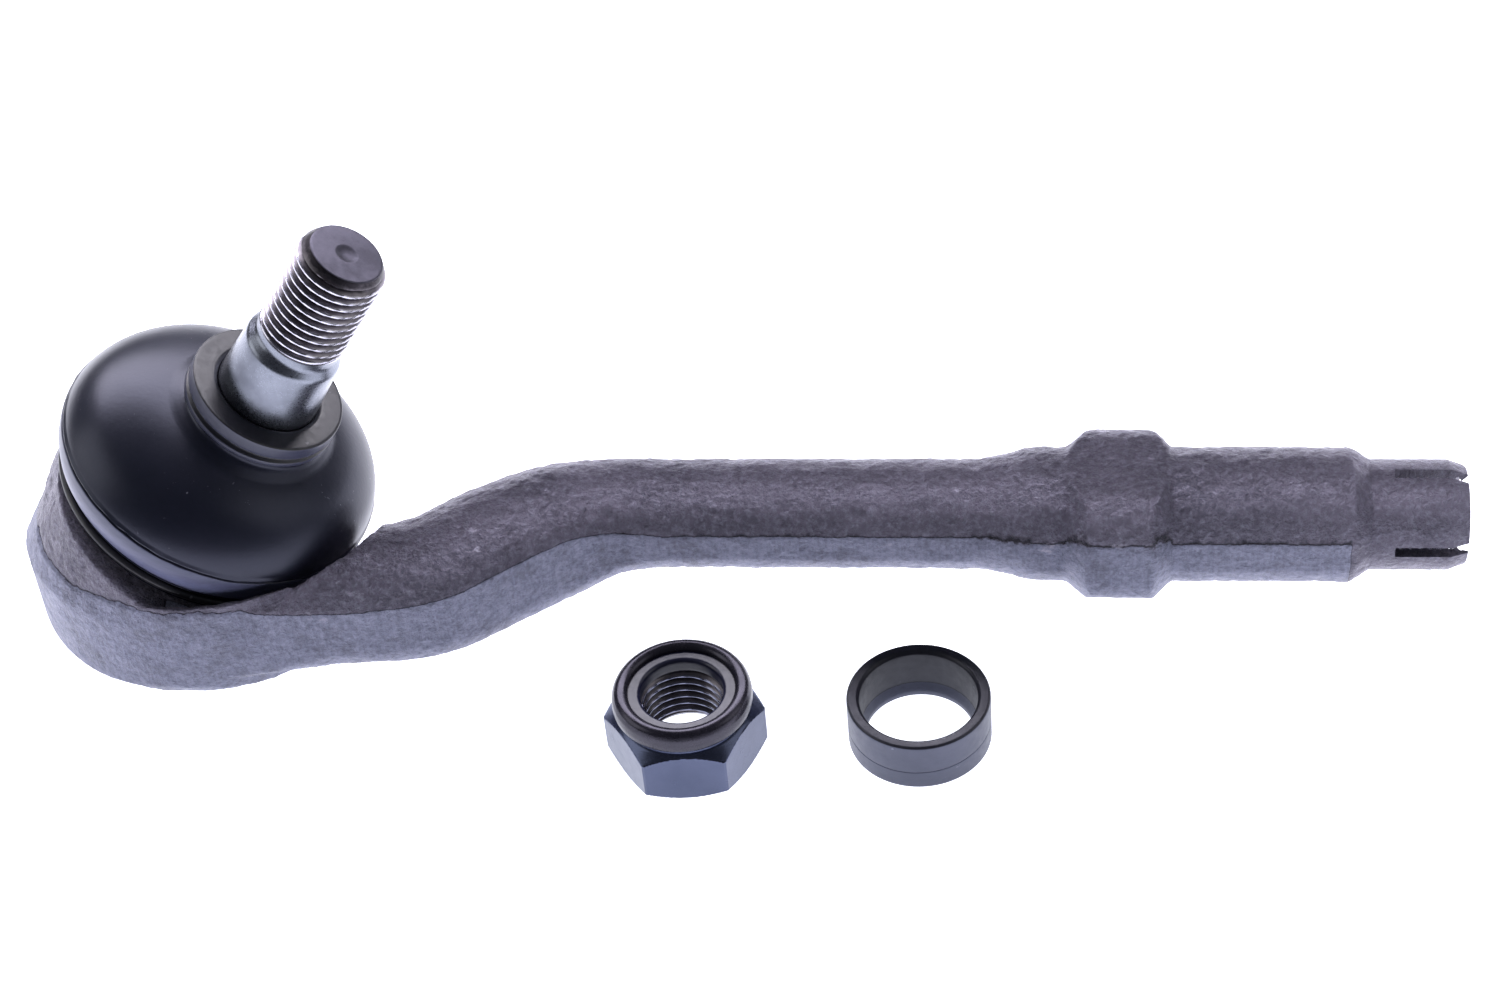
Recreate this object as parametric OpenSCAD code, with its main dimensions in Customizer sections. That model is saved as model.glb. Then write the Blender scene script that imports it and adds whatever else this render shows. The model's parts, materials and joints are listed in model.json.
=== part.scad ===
// Tie rod end: gooseneck forging with an inclined ball joint at one end and a
// slotted, internally threaded collet at the other, with its loose stop nut
// and clamping ring.  Millimetres.  The origin is the centre of the collet's
// open mouth, +X points out of the mouth along the thread and +Z is up.

/* [Rod] */
// Distance from the ball's centre to the mouth of the collet
ball_to_mouth = 201.8; // [195:0.1:215]
// Sideways offset of the ball's centre from the rod's axis, towards -Y
ball_offset = 3.3; // [0:0.1:5]
// Diameter of the plain shank
shank_d = 17.3; // [16.5:0.1:18]
// Diameter of the thick end that holds the thread
thick_d = 21; // [20:0.1:22]
// Half height of the trimmed flash flats along the shank
flash_half = 2.25; // [1:0.05:3]
// Half the distance across the wrench lug's upper and lower flats
lug_half_z = 10.6; // [10.2:0.1:11]
// Half the width of the wrench lug
lug_half_y = 13; // [12:0.1:14]

/* [Collet] */
// Outside diameter of the slotted collet
collet_d = 17.2; // [16.8:0.1:18]
// Length of the collet, from its shoulder to its mouth
collet_l = 14.5; // [12:0.5:18]
// Length of each slot
slot_l = 11.2; // [8:0.2:12]
// Width of each slot
slot_w = 1.5; // [1:0.1:2]
// Radius of the plain bore that stands for the M14 x 1.5 female thread
thread_bore_r = 6.19; // [6:0.01:6.5]
// Depth of the thread, from the mouth
thread_depth = 58; // [30:1:70]

/* [Ball joint] */
// Lean of the socket from vertical, towards the shank
socket_lean = 30; // [24:0.5:32]
// Further lean of the stud in its socket at rest
stud_tilt = 2.3; // [0:0.1:6]
// Radius of the ball
ball_r = 12.5; // [12:0.1:12.8]
// Running clearance between the ball and its plastic shell
ball_clear = 0.05; // [0.02:0.01:0.1]
// Length of the stud, from the ball's centre to its tip
stud_l = 65.6; // [60:0.2:70]
// Radius of the stud's M14 male thread at its crests
stud_r = 7; // [6.9:0.01:7.1]
// Radius of the stud's cone at its threaded end
cone_r = 7.62; // [7.5:0.01:7.8]
// Radius of the boot at its seam
boot_r = 25.2; // [24.6:0.1:25.6]

/* [Nut and ring] */
// Width across the flats of the stop nut
nut_af = 22; // [21:0.5:22]
// Height of the stop nut
nut_h = 14; // [13:0.1:15]
// Outside diameter of the clamping ring
ring_d = 22.4; // [21:0.1:23]
// Height of the clamping ring
ring_h = 9; // [8:0.1:10]
// Bore of the clamping ring
ring_bore_d = 18.4; // [18:0.1:18.6]

/* [Hidden] */
$fn = 96;
fine = 0.01;              // overlap that keeps joined solids joined
ball_at = [-ball_to_mouth, -ball_offset, 0];

// Trimmed wall round the housing: where the two upright cylinders overlap
wall_r = 31.4;
wall_front = [-ball_to_mouth + 4.9, 0];
wall_back = [-ball_to_mouth - 4.2, -9];
wall_high = 8.8;
underside_at = wall_front + [-3, 0.5];
underside_tilt = 5;       // the underside rises towards the end of the rod

// Housing, measured along the socket's axis from the ball's centre
body_r = 26.3;            // forged body above the wall
body_shift = [3, -1.9]; // it was forged a little off the socket's axis
boss_r = 23.8;            // machined face that carries the boot
boss_top = 8;
pocket_r = 26.1;          // pocket that the boot sits in
neck_r = 22.2;            // groove that the boot's lip sits in
neck_top = 11.4;
shell_r = 14.7;           // bore of the socket
shell_top = 6;
shell_low = -14.3;
mouth_r = 13.2;           // flared opening that lets the stud swing
cover_r = 15.2;
cover_t = 1.5;
rim_t = 0.7;              // rolled rim that closes the socket
rim_r = 17.2;
rim_bore_r = 13.2;
low_boss_r = 19;          // wall round the bore, below the trimmed wall

// Boot, along the same axis
seam_at = 15.2;
boot_wall = 1.8;
lip_low = boss_top + 0.3;
lip_top = 11;
boot_top = 28.6;
clamp_at = 10;
clamp_r = 23;
clamp_wire_r = 0.7;
dome_r = 8.2;             // the boot's dome is part of a ring with this radius
dome_h = 13.6;

// Stud, along its own axis
thread_l = 17.6;
relief_l = 1.6;
cone_top = stud_l - thread_l - relief_l - 1.4;
cone_low = 23;
cone_slope = 0.05;        // 1 in 10 on the diameter
collar_low = 30.2;
collar_top = 34.6;
collar_r = 12.2;
collar_clear = 0.06;

// Stop nut, from its lower face
hex_h = 9.6;
insert_low = nut_h - 3.6;
insert_top = nut_h - 1.1;
insert_r = 9.2;
insert_bore_r = 6.5;      // on the thread's flanks

// The part lies on its rolled rim, so this is the floor
floor_z = (shell_low - cover_t - rim_t) * cos(socket_lean) - rim_r * sin(socket_lean);
nut_at = [-120.3, -29.3, floor_z];
nut_turn = 5;
ring_at = [-84, -26.2, floor_z];

// Stations of the gooseneck: x, centre y, half width, half height, half height of the flash flats
neck = [
    [-193, -18.5, 11.4, 10.5, 8],
    [-184, -18.4, 11, 10.3, 6.2],
    [-176, -18.2, 9.8, 10.2, 4.6],
    [-168, -17.9, 9.3, 10.2, 4.5],
    [-160, -15.9, 9.5, 10.4, 4.8],
    [-151, -9.5, 9.4, 10.7, 5.2],
    [-142, -3.8, 9, 10.4, 5.2],
    [-133, -0.6, 8.4, 9.1, 3.6],
    [-124, 0, 8.3, 8.6, flash_half]];
neck_steps = 3;           // rings between two stations
arch_steps = 7;           // points along each arch of a ring
arch_above = 2;           // roundness above the flats: 2 is an ellipse
arch_below = 3;           // and below them, where the section is fuller

// Catmull-Rom blend of four values
function spline(a, b, c, d, t) =
    0.5 * (2 * b + (c - a) * t + (2 * a - 5 * b + 4 * c - d) * t * t
           + (3 * b - a - 3 * c + d) * t * t * t);
function station(list, i, t) =
    spline(list[max(i - 1, 0)], list[i], list[i + 1],
           list[min(i + 2, len(list) - 1)], t);
function neck_path() =
    [for (i = [0:len(neck) - 2], k = [0:neck_steps - 1]) station(neck, i, k / neck_steps),
     neck[len(neck) - 1]];
// Half outline of a section: an arch from flat to flat
function arch(w, b, h, n) =
    let (start = asin(pow(min(h / b, 0.95), n / 2)), a = w / pow(cos(start), 2 / n))
    [for (k = [0:arch_steps])
        let (q = start + (180 - 2 * start) * k / arch_steps, c = cos(q))
        [a * sign(c) * pow(abs(c), 2 / n), b * pow(sin(q), 2 / n)]];
function ring_of(s) =
    concat(arch(s[2], s[3], s[4], arch_above),
           [for (p = arch(s[2], s[3], s[4], arch_below)) [-p[0], -p[1]]]);
function heading(path, i) =
    let (a = path[max(i - 1, 0)], b = path[min(i + 1, len(path) - 1)])
    atan2(b[1] - a[1], b[0] - a[0]);
function placed(s, turn) =
    [for (p = ring_of(s)) [s[0] - p[0] * sin(turn), s[1] + p[0] * cos(turn), p[1]]];

module socket_frame() {
    translate(ball_at) rotate([0, socket_lean, 0]) children();
}

module stud_frame() {
    translate(ball_at) rotate([0, socket_lean + stud_tilt, 0]) children();
}

module along_x(from) {
    translate([from, 0, 0]) rotate([0, 90, 0]) children();
}

module tube(r_out, r_in, low, high) {
    translate([0, 0, low]) difference() {
        cylinder(r = r_out, h = high - low);
        translate([0, 0, -1]) cylinder(r = r_in, h = high - low + 2);
    }
}

module gooseneck() {
    path = neck_path();
    rings = [for (i = [0:len(path) - 1]) placed(path[i], heading(path, i))];
    n = len(rings[0]);
    last = len(rings) - 1;
    faces = concat(
        [[for (k = [0:n - 1]) k]],
        [for (i = [0:last - 1], k = [0:n - 1])
            let (a = i * n + k, b = i * n + (k + 1) % n) [a, a + n, b]],
        [for (i = [0:last - 1], k = [0:n - 1])
            let (a = i * n + k, b = i * n + (k + 1) % n) [b, a + n, b + n]],
        [[for (k = [n - 1:-1:0]) last * n + k]]);
    polyhedron(points = [for (r = rings, p = r) p], faces = faces, convexity = 4);
}

module upright_wall(at) {
    translate([at[0], at[1], -30]) cylinder(r = wall_r, h = 90);
}

// Everything above the rounded underside of the housing
module above_underside() {
    translate([underside_at[0], underside_at[1], 0]) rotate([0, underside_tilt, 0])
        rotate_extrude() polygon([
            [0, -12.6], [27.6, -12.6], [30.2, -10.8], [31.5, -8.6], [50, 20], [50, 80], [0, 80]]);
}

module housing_body() {
    intersection() {
        upright_wall(wall_front);
        upright_wall(wall_back);
        above_underside();
        socket_frame() translate([body_shift[0], body_shift[1], -60])
            cylinder(r = body_r, h = 120);
        union() {
            socket_frame() translate([0, 0, -60]) cylinder(r = 60, h = 60 + boss_top);
            translate([wall_front[0] - 10, -60, wall_high - 30]) cube([60, 120, 30]);
        }
    }
    socket_frame() {
        cylinder(r = boss_r, h = boss_top);
        cylinder(r = neck_r, h = neck_top);
        translate([0, 0, shell_low]) cylinder(r = low_boss_r, h = -shell_low);
        translate([0, 0, shell_low - cover_t - rim_t]) cylinder(r = rim_r, h = 8);
    }
}

module shank() {
    intersection() {
        along_x(-130) cylinder(d = shank_d, h = 60);
        wall = sqrt(pow(shank_d / 2, 2) - pow(flash_half, 2));
        translate([-140, -wall, -20]) cube([90, 2 * wall, 40]);
    }
    r = thick_d / 2;
    intersection() {
        rotate([0, 90, 0]) rotate_extrude() polygon([
            [0, -76], [shank_d / 2 - 0.1, -76], [shank_d / 2 + 0.3, -73.5], [r - 0.9, -70.3],
            [r - 0.2, -67.8], [r, -65.5], [r, -17.6], [collet_d / 2, -collet_l],
            [0, -collet_l]]);
        wall = sqrt(r * r - pow(flash_half + 0.3, 2));
        translate([-80, -wall, -20]) cube([80, 2 * wall, 40]);
    }
}

module wrench_lug() {
    intersection() {
        rotate([90, 0, 90]) translate([0, 0, -66]) linear_extrude(26) polygon([
            for (q = [[1, 1], [-1, 1], [-1, -1], [1, -1]])
                each (q[0] * q[1] > 0
                    ? [[q[0] * lug_half_y, q[1] * 5.8], [q[0] * 8, q[1] * lug_half_z]]
                    : [[q[0] * 8, q[1] * lug_half_z], [q[0] * lug_half_y, q[1] * 5.8]])]);
        rotate([0, 90, 0]) rotate_extrude() polygon([
            [0, -63.5], [9, -63.5], [11.3, -60.4], [14.6, -56.8], [14.6, -49.4],
            [11.3, -45.8], [9, -43.5], [0, -43.5]]);
    }
}

// Turned a little about its axis, so that the seam of its round face misses the slots
module collet() {
    rotate([0, 90, 0]) rotate(7.5) rotate_extrude() polygon([
        [0, -20], [collet_d / 2, -20], [collet_d / 2, -2.6], [collet_d / 2 - 1.1, 0], [0, 0]]);
}

module rod_forging() {
    color([0.24, 0.23, 0.27]) difference() {
        union() {
            difference() {
                union() {
                    gooseneck();
                    housing_body();
                }
                socket_frame() tube(pocket_r, neck_r, boss_top, 60);
                socket_frame() translate([0, 0, neck_top]) cylinder(r = pocket_r, h = 60);
            }
            shank();
            wrench_lug();
            collet();
        }
        socket_frame() {
            translate([0, 0, shell_low]) cylinder(r = shell_r, h = shell_top - shell_low);
            translate([0, 0, shell_low - cover_t]) cylinder(r = cover_r, h = cover_t + fine);
            translate([0, 0, -40]) cylinder(r = rim_bore_r, h = 40);
            translate([0, 0, shell_top - fine])
                cylinder(r1 = 11, r2 = mouth_r, h = neck_top - shell_top + 2 * fine);
        }
        along_x(-thread_depth) cylinder(r = thread_bore_r, h = thread_depth + 1);
        along_x(-thread_depth - 3.5) cylinder(r1 = 0, r2 = thread_bore_r, h = 3.5 + fine);
        for (turn = [0, 90])
            rotate([turn, 0, 0]) translate([-slot_l, -slot_w / 2, -20])
                cube([slot_l + 1, slot_w, 40]);
    }
}

module bearing_shell() {
    color([0.93, 0.93, 0.88]) socket_frame() difference() {
        translate([0, 0, shell_low]) cylinder(r = shell_r, h = shell_top - shell_low);
        sphere(r = ball_r + ball_clear);
    }
}

module end_cover() {
    color([0.45, 0.45, 0.5]) socket_frame()
        translate([0, 0, shell_low - cover_t]) cylinder(r = cover_r, h = cover_t);
}

module dust_boot() {
    outer = [for (q = [0:10:70])
        [dome_r + (boot_r - dome_r) * cos(q), seam_at + dome_h * sin(q)]];
    inner = [for (q = [70:-10:0])
        [dome_r + (boot_r - boot_wall - dome_r) * cos(q), seam_at + (dome_h - boot_wall) * sin(q)]];
    color([0.06, 0.06, 0.1]) socket_frame() rotate_extrude() polygon(concat(
        [[neck_r + 0.25, lip_low], [clamp_r + 0.6, lip_low], [clamp_r + 0.6, clamp_at - 0.9],
         [clamp_r, clamp_at - 0.7], [clamp_r, clamp_at + 0.7], [clamp_r + 0.8, clamp_at + 0.9],
         [boot_r - 0.6, 12.2], [boot_r - 0.1, 14]],
        outer, [[12, boot_top], [10.4, boot_top]], inner,
        [[boot_r - boot_wall - 0.4, 13.4], [neck_r + 0.25, lip_top + 0.8]]));
}

module boot_clamp_ring() {
    color([0.1, 0.1, 0.12]) socket_frame() translate([0, 0, clamp_at]) rotate_extrude()
        translate([clamp_r + clamp_wire_r, 0]) circle(r = clamp_wire_r, $fn = 24);
}

module boot_collar_ring() {
    grip = function (s) cone_r + (cone_top - s) * cone_slope + collar_clear;
    color([0.05, 0.05, 0.06]) stud_frame() rotate_extrude() polygon([
        [grip(collar_low), collar_low], [collar_r - 0.3, collar_low],
        [collar_r + 0.1, collar_low + 0.5], [collar_r - 0.2, collar_low + 1.3],
        [collar_r - 0.6, collar_low + 1.6], [collar_r, collar_low + 2], [collar_r, collar_top],
        [grip(collar_top), collar_top]]);
}

module ball_stud() {
    color([0.72, 0.73, 0.76]) stud_frame() {
        difference() {
            sphere(r = ball_r);
            translate([0, 0, -ball_r - 9]) cylinder(r = 20, h = 10.2);
        }
        rotate_extrude() polygon([
            [0, 5], [7.4, 10], [6.8, 12], [6.8, 20],
            [cone_r + (cone_top - cone_low) * cone_slope, cone_low],
            [cone_r, cone_top], [stud_r - 0.4, cone_top + 1.4],
            [stud_r - 0.4, stud_l - thread_l], [stud_r, stud_l - thread_l + 0.5],
            [stud_r, stud_l - 1.9], [stud_r - 1.3, stud_l], [0, stud_l]]);
    }
}

module lock_nut() {
    hex_r = nut_af / 2 / cos(30);
    color([0.42, 0.47, 0.62]) translate(nut_at) difference() {
        union() {
            intersection() {
                rotate([0, 0, nut_turn]) cylinder(r = hex_r, h = hex_h, $fn = 6);
                rotate_extrude() polygon([
                    [0, 0], [nut_af / 2 - 0.4, 0], [hex_r - 0.2, 1.3], [hex_r - 0.2, hex_h - 1.8],
                    [nut_af / 2 - 0.5, hex_h], [0, hex_h]]);
            }
            rotate_extrude() polygon([
                [0, hex_h - 0.5], [10.3, hex_h - 0.5], [10.3, hex_h + 0.6], [10.9, hex_h + 1.4],
                [10.9, nut_h - 1.3], [10.3, nut_h - 0.3], [9.4, nut_h], [0, nut_h]]);
        }
        translate([0, 0, -1]) cylinder(r = thread_bore_r, h = nut_h + 2);
        translate([0, 0, insert_low]) cylinder(r = insert_r, h = insert_top - insert_low);
        translate([0, 0, insert_top - fine]) cylinder(r = 8.1, h = 2);
        translate([0, 0, -fine]) cylinder(r1 = 7.2, r2 = 6, h = 1.2);
    }
}

module nut_insert() {
    color([0.12, 0.13, 0.3]) translate(nut_at) tube(insert_r, insert_bore_r, insert_low, insert_top);
}

module clamping_ring() {
    color([0.25, 0.26, 0.32]) translate(ring_at) rotate_extrude() polygon([
        [8.5, 0], [ring_d / 2 - 0.3, 0], [ring_d / 2, 0.3], [ring_d / 2, ring_h - 0.3],
        [ring_d / 2 - 0.3, ring_h], [ring_bore_d / 2 + 0.3, ring_h],
        [ring_bore_d / 2, ring_h - 0.3], [ring_bore_d / 2, 2.4], [8.5, 0.8]]);
}

rod_forging();
bearing_shell();
end_cover();
dust_boot();
boot_clamp_ring();
boot_collar_ring();
ball_stud();
lock_nut();
nut_insert();
clamping_ring();
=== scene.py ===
"""Tie rod end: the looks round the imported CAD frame.

Meshes are built in millimetres and scaled to metres when they become pieces. The ball's centre and the two
axes come from the frame's joints, and the loose pieces' places from their CAD nodes.
"""
import json
import math

import bmesh
import bpy
import numpy as np
from mathutils import Matrix, Vector, noise


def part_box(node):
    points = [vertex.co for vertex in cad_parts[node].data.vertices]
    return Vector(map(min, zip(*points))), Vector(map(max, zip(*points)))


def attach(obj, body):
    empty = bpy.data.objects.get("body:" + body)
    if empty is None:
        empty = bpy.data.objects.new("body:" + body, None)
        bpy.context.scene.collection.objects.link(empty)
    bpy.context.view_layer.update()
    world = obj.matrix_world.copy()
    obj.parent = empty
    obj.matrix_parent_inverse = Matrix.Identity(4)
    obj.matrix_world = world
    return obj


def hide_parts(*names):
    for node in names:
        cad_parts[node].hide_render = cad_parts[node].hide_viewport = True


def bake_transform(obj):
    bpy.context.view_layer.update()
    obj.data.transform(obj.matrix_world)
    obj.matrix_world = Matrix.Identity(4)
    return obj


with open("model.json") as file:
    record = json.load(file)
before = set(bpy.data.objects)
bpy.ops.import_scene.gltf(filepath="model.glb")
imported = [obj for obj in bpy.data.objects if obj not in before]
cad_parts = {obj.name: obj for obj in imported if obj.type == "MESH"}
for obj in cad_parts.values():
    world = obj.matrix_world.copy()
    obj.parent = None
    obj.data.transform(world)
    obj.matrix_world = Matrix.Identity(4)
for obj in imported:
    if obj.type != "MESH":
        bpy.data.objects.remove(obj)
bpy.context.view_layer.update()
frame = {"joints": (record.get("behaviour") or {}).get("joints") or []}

MM = 0.001
JOINTS = {j["name"]: j for j in frame["joints"]}
BALL = Vector(JOINTS["stud_tilt"]["pos_m"]) / MM
SOCKET_AXIS = Vector(JOINTS["boot_orbit"]["axis"])
STUD_AXIS = Vector(JOINTS["stud_spin"]["axis"])
LEAN = math.atan2(SOCKET_AXIS.x, SOCKET_AXIS.z)
TILT = math.atan2(STUD_AXIS.x, STUD_AXIS.z) - LEAN
SOCKET = Matrix.Translation(BALL) @ Matrix.Rotation(LEAN, 4, "Y")
STUD = Matrix.Translation(BALL) @ Matrix.Rotation(LEAN + TILT, 4, "Y")
ALONG_X = Matrix.Rotation(math.pi / 2, 4, "Y")
FLOOR_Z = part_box("lock_nut")[0].z / MM


def node_foot(node):
    """Centre of a node's lowest face, in millimetres."""
    low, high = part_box(node)
    return Vector(((low.x + high.x) / 2, (low.y + high.y) / 2, low.z)) / MM


# ---------------------------------------------------------------- mesh helpers

def rounded(points, radius, steps=4, closed=False):
    """The outline with each inner corner rounded by up to radius."""
    count = len(points)
    out = []
    for i, p in enumerate(points):
        if not closed and i in (0, count - 1):
            out.append(p)
            continue
        here = Vector(p)
        before, after = Vector(points[i - 1]) - here, Vector(points[(i + 1) % count]) - here
        cut = min(radius, before.length * 0.45, after.length * 0.45)
        start, end = here + before.normalized() * cut, here + after.normalized() * cut
        for k in range(steps + 1):
            t = k / steps
            out.append(tuple(start * (1 - t) ** 2 + here * 2 * t * (1 - t) + end * t * t))
    return out


def divided(points, longest, closed=False):
    """The outline with its long stretches divided."""
    out = []
    ends = points[1:] + points[:1] if closed else points[1:]
    for a, b in zip(points, ends):
        n = max(1, math.ceil((Vector(b) - Vector(a)).length / longest))
        out += [tuple(Vector(a).lerp(Vector(b), k / n)) for k in range(n)]
    return out if closed else out + [points[-1]]


def arc(centre, radii, start, end, steps):
    """Points (r, z) along part of an ellipse, angles in degrees."""
    angles = [math.radians(start + (end - start) * k / steps) for k in range(steps + 1)]
    return [(centre[0] + radii[0] * math.cos(a), centre[1] + radii[1] * math.sin(a)) for a in angles]


def turned(name, profile, segments=128, closed=False, shape=None, place=Matrix.Identity(4)):
    """A solid of revolution from (r, z) points. shape(r, z, angle) may change the radii."""
    mesh = bpy.data.meshes.new(name)
    bm = bmesh.new()
    angles = np.arange(segments) * 2 * math.pi / segments
    rows = []
    for r, z in profile:
        if r < 1e-6:
            rows.append([bm.verts.new((0, 0, z))])
            continue
        radii = np.full(segments, float(r)) if shape is None else shape(r, z, angles)
        rows.append([bm.verts.new((q * math.cos(a), q * math.sin(a), z)) for q, a in zip(radii, angles)])
    pairs = list(zip(rows, rows[1:])) + ([(rows[-1], rows[0])] if closed else [])
    for low, high in pairs:
        for k in range(segments):
            j = (k + 1) % segments
            ring = [low[k % len(low)], low[j % len(low)], high[j % len(high)], high[k % len(high)]]
            ring = list(dict.fromkeys(ring))
            if len(ring) > 2:
                bm.faces.new(ring)
    bmesh.ops.recalc_face_normals(bm, faces=bm.faces)
    bm.transform(place)
    bm.to_mesh(mesh)
    bm.free()
    return linked(name, mesh)


def linked(name, mesh):
    obj = bpy.data.objects.new(name, mesh)
    bpy.context.scene.collection.objects.link(obj)
    return obj


def lofted(name, rings):
    """A closed skin through rings that have the same number of points."""
    mesh = bpy.data.meshes.new(name)
    bm = bmesh.new()
    rows = [[bm.verts.new(p) for p in ring] for ring in rings]
    n = len(rows[0])
    for low, high in zip(rows, rows[1:]):
        for k in range(n):
            bm.faces.new((low[k], low[(k + 1) % n], high[(k + 1) % n], high[k]))
    bm.faces.new(reversed(rows[0]))
    bm.faces.new(rows[-1])
    bmesh.ops.recalc_face_normals(bm, faces=bm.faces)
    bmesh.ops.triangulate(bm, faces=[f for f in bm.faces if len(f.verts) > 4])
    bm.to_mesh(mesh)
    bm.free()
    return linked(name, mesh)


def brick(low, high):
    """A box from its lowest corner to its highest."""
    corners = [(low[0], low[1]), (high[0], low[1]), (high[0], high[1]), (low[0], high[1])]
    return lofted("brick", [[(x, y, z) for x, y in corners] for z in (low[2], high[2])])


def rod(radius, low, high, place=Matrix.Identity(4), segments=160):
    return turned("rod", [(0, low), (radius, low), (radius, high), (0, high)], segments, place=place)


def evaluated(obj):
    """Applies an object's modifiers."""
    graph = bpy.context.evaluated_depsgraph_get()
    mesh = bpy.data.meshes.new_from_object(obj.evaluated_get(graph))
    obj.modifiers.clear()
    obj.data = mesh
    return obj


def combined(target, other, operation):
    """Joins, cuts or intersects target with other, and deletes other."""
    step = target.modifiers.new("step", "BOOLEAN")
    step.object = other
    step.operation = operation
    step.solver = "MANIFOLD"
    evaluated(target)
    bpy.data.objects.remove(other)
    return target


def finished(obj, body, node, materials, sharp=35, bend=None):
    """Scales a piece to metres, gives it its materials, parents it to its body's empty, or bakes its place
    into the mesh when bend is given, and hides its CAD node.
    """
    obj.data.transform(Matrix.Scale(MM, 4))
    obj.data.materials.clear()
    for material in materials:
        obj.data.materials.append(material)
    obj.data.polygons.foreach_set("use_smooth", [True] * len(obj.data.polygons))
    obj.data.set_sharp_from_angle(angle=math.radians(sharp))
    if bend:
        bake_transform(obj)
    else:
        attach(obj, body)
    if node:
        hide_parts(node)
    return obj


# ---------------------------------------------------------------- materials

class Nodes:
    """A short way to write a procedural material."""

    def __init__(self, name, **sockets):
        self.material = bpy.data.materials.new(name)
        self.material.use_nodes = True
        self.tree = self.material.node_tree
        self.shader = self.tree.nodes["Principled BSDF"]
        self.coordinates = self.tree.nodes.new("ShaderNodeTexCoord").outputs["Object"]
        for key, value in sockets.items():
            self.shader.inputs[key.replace("_", " ")].default_value = value

    def add(self, kind, links=(), **settings):
        node = self.tree.nodes.new(kind)
        for key, value in settings.items():
            setattr(node, key, value)
        for socket, value in dict(links).items():
            if isinstance(value, bpy.types.NodeSocket):
                self.tree.links.new(value, node.inputs[socket])
            else:
                node.inputs[socket].default_value = value
        return node

    def stretched(self, scale, turn=(0, 0, 0)):
        links = {"Vector": self.coordinates, "Scale": scale, "Rotation": turn}
        node = self.add("ShaderNodeMapping", links)
        return node.outputs["Vector"]

    def noise(self, scale, detail=4, roughness=0.6, vector=None):
        vector = vector or self.coordinates
        links = {"Vector": vector, "Scale": scale, "Detail": detail, "Roughness": roughness}
        return self.add("ShaderNodeTexNoise", links).outputs["Fac"]

    def ramp(self, value, low, high, start=0.0, end=1.0):
        """Maps value from low..high to start..end, clamped."""
        links = {"Value": value, "From Min": low, "From Max": high, "To Min": start, "To Max": end}
        return self.add("ShaderNodeMapRange", links, clamp=True).outputs["Result"]

    def math(self, operation, a, b):
        return self.add("ShaderNodeMath", {0: a, 1: b}, operation=operation).outputs[0]

    def mix(self, factor, a, b):
        node = self.add("ShaderNodeMix", data_type="RGBA")
        for index, value in ((0, factor), (6, a), (7, b)):
            if isinstance(value, bpy.types.NodeSocket):
                self.tree.links.new(value, node.inputs[index])
            else:
                node.inputs[index].default_value = value
        return node.outputs[2]

    def attribute(self, name):
        return self.add("ShaderNodeAttribute", attribute_name=name).outputs["Fac"]

    def bump(self, height, distance, strength=1.0):
        links = {"Height": height, "Distance": distance, "Strength": strength}
        return self.add("ShaderNodeBump", links).outputs["Normal"]

    def connect(self, **outputs):
        for key, value in outputs.items():
            self.tree.links.new(value, self.shader.inputs[key.replace("_", " ")])
        return self.material


def rgb(red, green, blue):
    return (red, green, blue, 1.0)


def forging_material():
    """Dark coated forging. The attribute 'flat' is 1 on the trimmed flats, which are paler and brushed."""
    m = Nodes("forged_steel", Metallic=0.8)
    blotch = m.noise(60, 5)
    lumps = m.noise(420, 5, 0.7)
    grain = m.noise(1100, 5, 0.75)
    edge = m.math("ADD", m.attribute("flat"), m.ramp(m.noise(500, 5), 0.3, 0.7, -0.22, 0.22))
    flat = m.ramp(edge, 0.45, 0.6)
    # Painted shade along the crease at the edge of the trimmed flats.
    crease = m.math("MULTIPLY", m.ramp(edge, 0.12, 0.42), m.ramp(edge, 0.42, 0.55, 1, 0))
    dark = m.mix(m.ramp(blotch, 0.35, 0.65), rgb(0.135, 0.125, 0.165), rgb(0.095, 0.09, 0.12))
    dark = m.mix(m.ramp(grain, 0.45, 0.75), dark, rgb(0.21, 0.2, 0.26))
    streaks = m.noise(1, 5, 0.7, m.stretched((1700, 1700, 160), (0, 0.3, 0)))
    pale = m.mix(m.ramp(streaks, 0.35, 0.68), rgb(0.125, 0.13, 0.18), rgb(0.185, 0.192, 0.265))
    pale = m.mix(m.ramp(grain, 0.4, 0.75), pale, rgb(0.27, 0.28, 0.375))
    pale = m.mix(m.ramp(m.noise(170, 6, 0.75), 0.5, 0.68, 0, 0.55), pale, rgb(0.085, 0.083, 0.11))
    rubbed = m.math("MULTIPLY", m.ramp(m.noise(1, 4, 0.65, m.stretched((260, 520, 520))), 0.6, 0.72),
                    m.ramp(m.noise(38, 3), 0.5, 0.62))
    colour = m.mix(flat, dark, pale)
    # Painted shade: the crease is coloured near-black.
    colour = m.mix(crease, colour, rgb(0.014, 0.013, 0.018))
    worn = m.math("MULTIPLY", rubbed, m.ramp(grain, 0.35, 0.6, 0.2, 0.8))
    colour = m.mix(worn, colour, rgb(0.4, 0.38, 0.47))
    height = m.math("ADD", m.ramp(lumps, 0.1, 0.9, 0, 1.6), m.ramp(grain, 0.1, 0.9, 0, 0.9))
    height = m.math("ADD", height, m.math("MULTIPLY", flat, m.ramp(streaks, 0, 1, 0, 0.5)))
    normal = m.bump(height, 0.0007)
    rough = m.math("ADD", m.ramp(lumps, 0.3, 0.7, 0.3, 0.44), m.math("MULTIPLY", flat, 0.08))
    rough = m.math("SUBTRACT", rough, m.math("MULTIPLY", rubbed, 0.1))
    return m.connect(Base_Color=colour, Roughness=rough, Normal=normal)


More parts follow.
